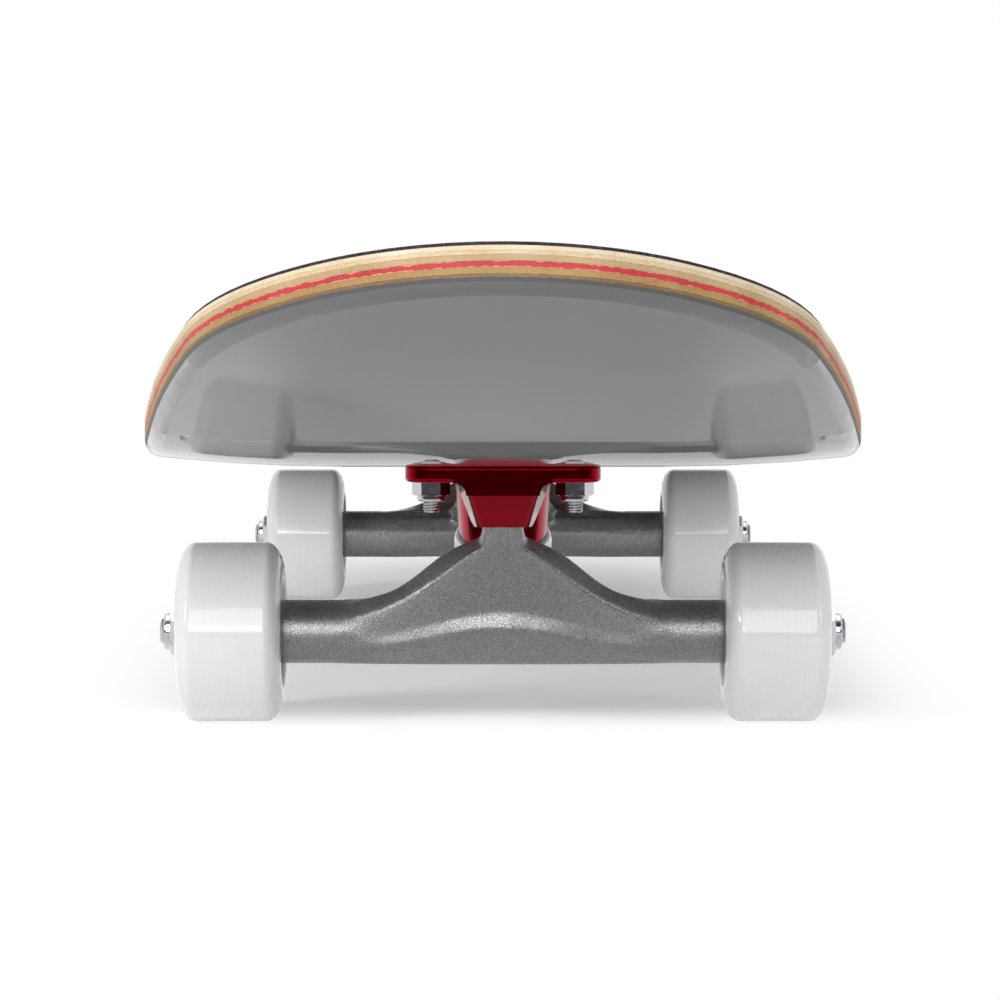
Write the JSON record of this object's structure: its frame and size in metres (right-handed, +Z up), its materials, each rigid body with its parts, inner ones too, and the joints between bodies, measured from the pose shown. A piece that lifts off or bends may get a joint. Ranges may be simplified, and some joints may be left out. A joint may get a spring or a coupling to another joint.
{
  "type": "skateboard",
  "caption": "Street skateboard with a laminated maple deck, grip tape, steering trucks on urethane bushings and urethane wheels on ball bearings.",
  "frame": {"origin": "on the ground under the middle of the board's length and width", "axes": "+Y along the board from nose to tail, +X across it to the left of a rider who looks to the nose, +Z up"},
  "size_m": [0.204, 0.814, 0.1398],
  "materials": {
    "grip": "black grit on a backing film",
    "maple": "sanded maple veneer edge",
    "maple_light": "sanded maple veneer, grain across",
    "maple_red": "red dyed maple veneer",
    "maple_ochre": "ochre maple veneer edge",
    "maple_brown": "brown maple veneer, grain across",
    "deck_lacquer": "grey paint under clear gloss lacquer",
    "chrome": "bright chrome plate",
    "zinc_steel": "bright zinc plate",
    "nylon": "natural nylon",
    "red_anodised": "deep red gloss anodising",
    "cast_hanger": "fine blasted casting under a clear coat",
    "bushing_urethane": "satin black urethane",
    "wheel_urethane": "white urethane, turned on a lathe",
    "bearing_steel": "ground steel",
    "bearing_shield": "pressed steel shield"
  },
  "bodies": {
    "board": {"grip_tape": "grip", "ply_1_top": "maple", "ply_2_cross": "maple_light", "ply_3": "maple", "ply_4_red": "maple_red", "ply_5": "maple_ochre", "ply_6_cross": "maple_brown", "ply_7_bottom": "deck_lacquer", "deck_bolts": "chrome", "deck_bolt_nuts": "chrome", "deck_bolt_nut_inserts": "nylon", "board_side_washers": "chrome", "road_side_washers": "chrome", "kingpin_nut_inserts": "nylon", "front_baseplate": "red_anodised", "front_pivot_cup": "nylon", "front_kingpin": "zinc_steel", "front_kingpin_nut": "chrome", "front_board_side_bushing": "bushing_urethane", "front_road_side_bushing": "bushing_urethane", "rear_baseplate": "red_anodised", "rear_pivot_cup": "nylon", "rear_kingpin": "zinc_steel", "rear_kingpin_nut": "chrome", "rear_board_side_bushing": "bushing_urethane", "rear_road_side_bushing": "bushing_urethane"},
    "front_truck": {"front_hanger": "cast_hanger", "front_axle": "zinc_steel", "front_axle_nuts": "chrome", "front_axle_nut_inserts": "nylon", "front_speed_washers": "zinc_steel", "front_bearing_spacers": "zinc_steel", "front_bearing_inner_rings": "bearing_steel"},
    "front_left_wheel_body": {"front_left_wheel": "wheel_urethane", "front_left_bearing_outer_rings": "bearing_steel", "front_left_bearing_shields": "bearing_shield"},
    "front_left_ball_set": {"front_left_bearing_balls": "bearing_steel", "front_left_bearing_cages": "nylon"},
    "front_right_wheel_body": {"front_right_wheel": "wheel_urethane", "front_right_bearing_outer_rings": "bearing_steel", "front_right_bearing_shields": "bearing_shield"},
    "front_right_ball_set": {"front_right_bearing_balls": "bearing_steel", "front_right_bearing_cages": "nylon"},
    "rear_truck": {"rear_hanger": "cast_hanger", "rear_axle": "zinc_steel", "rear_axle_nuts": "chrome", "rear_axle_nut_inserts": "nylon", "rear_speed_washers": "zinc_steel", "rear_bearing_spacers": "zinc_steel", "rear_bearing_inner_rings": "bearing_steel"},
    "rear_left_wheel_body": {"rear_left_wheel": "wheel_urethane", "rear_left_bearing_outer_rings": "bearing_steel", "rear_left_bearing_shields": "bearing_shield"},
    "rear_left_ball_set": {"rear_left_bearing_balls": "bearing_steel", "rear_left_bearing_cages": "nylon"},
    "rear_right_wheel_body": {"rear_right_wheel": "wheel_urethane", "rear_right_bearing_outer_rings": "bearing_steel", "rear_right_bearing_shields": "bearing_shield"},
    "rear_right_ball_set": {"rear_right_bearing_balls": "bearing_steel", "rear_right_bearing_cages": "nylon"}
  },
  "joints": [
    {"name": "front_steer", "type": "hinge", "parent": "board", "child": "front_truck", "pos_m": [0, -0.18196, 0.03998], "axis": [0, -0.8145, 0.5801], "range_deg": [-16, 16], "stiffness_Nm_per_rad": 60, "deforming": ["front_board_side_bushing", "front_road_side_bushing"]},
    {"name": "front_left_wheel_spin", "type": "hinge", "parent": "front_truck", "child": "front_left_wheel_body", "pos_m": [0.0805, -0.198, 0.0265], "axis": [1, 0, 0], "continuous": true},
    {"name": "front_left_ball_orbit", "type": "hinge", "parent": "front_truck", "child": "front_left_ball_set", "pos_m": [0.0805, -0.198, 0.0265], "axis": [1, 0, 0], "continuous": true},
    {"name": "front_right_wheel_spin", "type": "hinge", "parent": "front_truck", "child": "front_right_wheel_body", "pos_m": [-0.0805, -0.198, 0.0265], "axis": [1, 0, 0], "continuous": true},
    {"name": "front_right_ball_orbit", "type": "hinge", "parent": "front_truck", "child": "front_right_ball_set", "pos_m": [-0.0805, -0.198, 0.0265], "axis": [1, 0, 0], "continuous": true},
    {"name": "rear_steer", "type": "hinge", "parent": "board", "child": "rear_truck", "pos_m": [0, 0.19596, 0.03998], "axis": [0, 0.8145, 0.5801], "range_deg": [-16, 16], "stiffness_Nm_per_rad": 60, "deforming": ["rear_board_side_bushing", "rear_road_side_bushing"]},
    {"name": "rear_left_wheel_spin", "type": "hinge", "parent": "rear_truck", "child": "rear_left_wheel_body", "pos_m": [0.0805, 0.212, 0.0265], "axis": [1, 0, 0], "continuous": true},
    {"name": "rear_left_ball_orbit", "type": "hinge", "parent": "rear_truck", "child": "rear_left_ball_set", "pos_m": [0.0805, 0.212, 0.0265], "axis": [1, 0, 0], "continuous": true},
    {"name": "rear_right_wheel_spin", "type": "hinge", "parent": "rear_truck", "child": "rear_right_wheel_body", "pos_m": [-0.0805, 0.212, 0.0265], "axis": [1, 0, 0], "continuous": true},
    {"name": "rear_right_ball_orbit", "type": "hinge", "parent": "rear_truck", "child": "rear_right_ball_set", "pos_m": [-0.0805, 0.212, 0.0265], "axis": [1, 0, 0], "continuous": true}
  ],
  "couplings": [
    {"joint": "front_left_ball_orbit", "follows": "front_left_wheel_spin", "ratio": 0.6303},
    {"joint": "front_right_ball_orbit", "follows": "front_right_wheel_spin", "ratio": 0.6303},
    {"joint": "rear_left_ball_orbit", "follows": "rear_left_wheel_spin", "ratio": 0.6303},
    {"joint": "rear_right_ball_orbit", "follows": "rear_right_wheel_spin", "ratio": 0.6303}
  ]
}
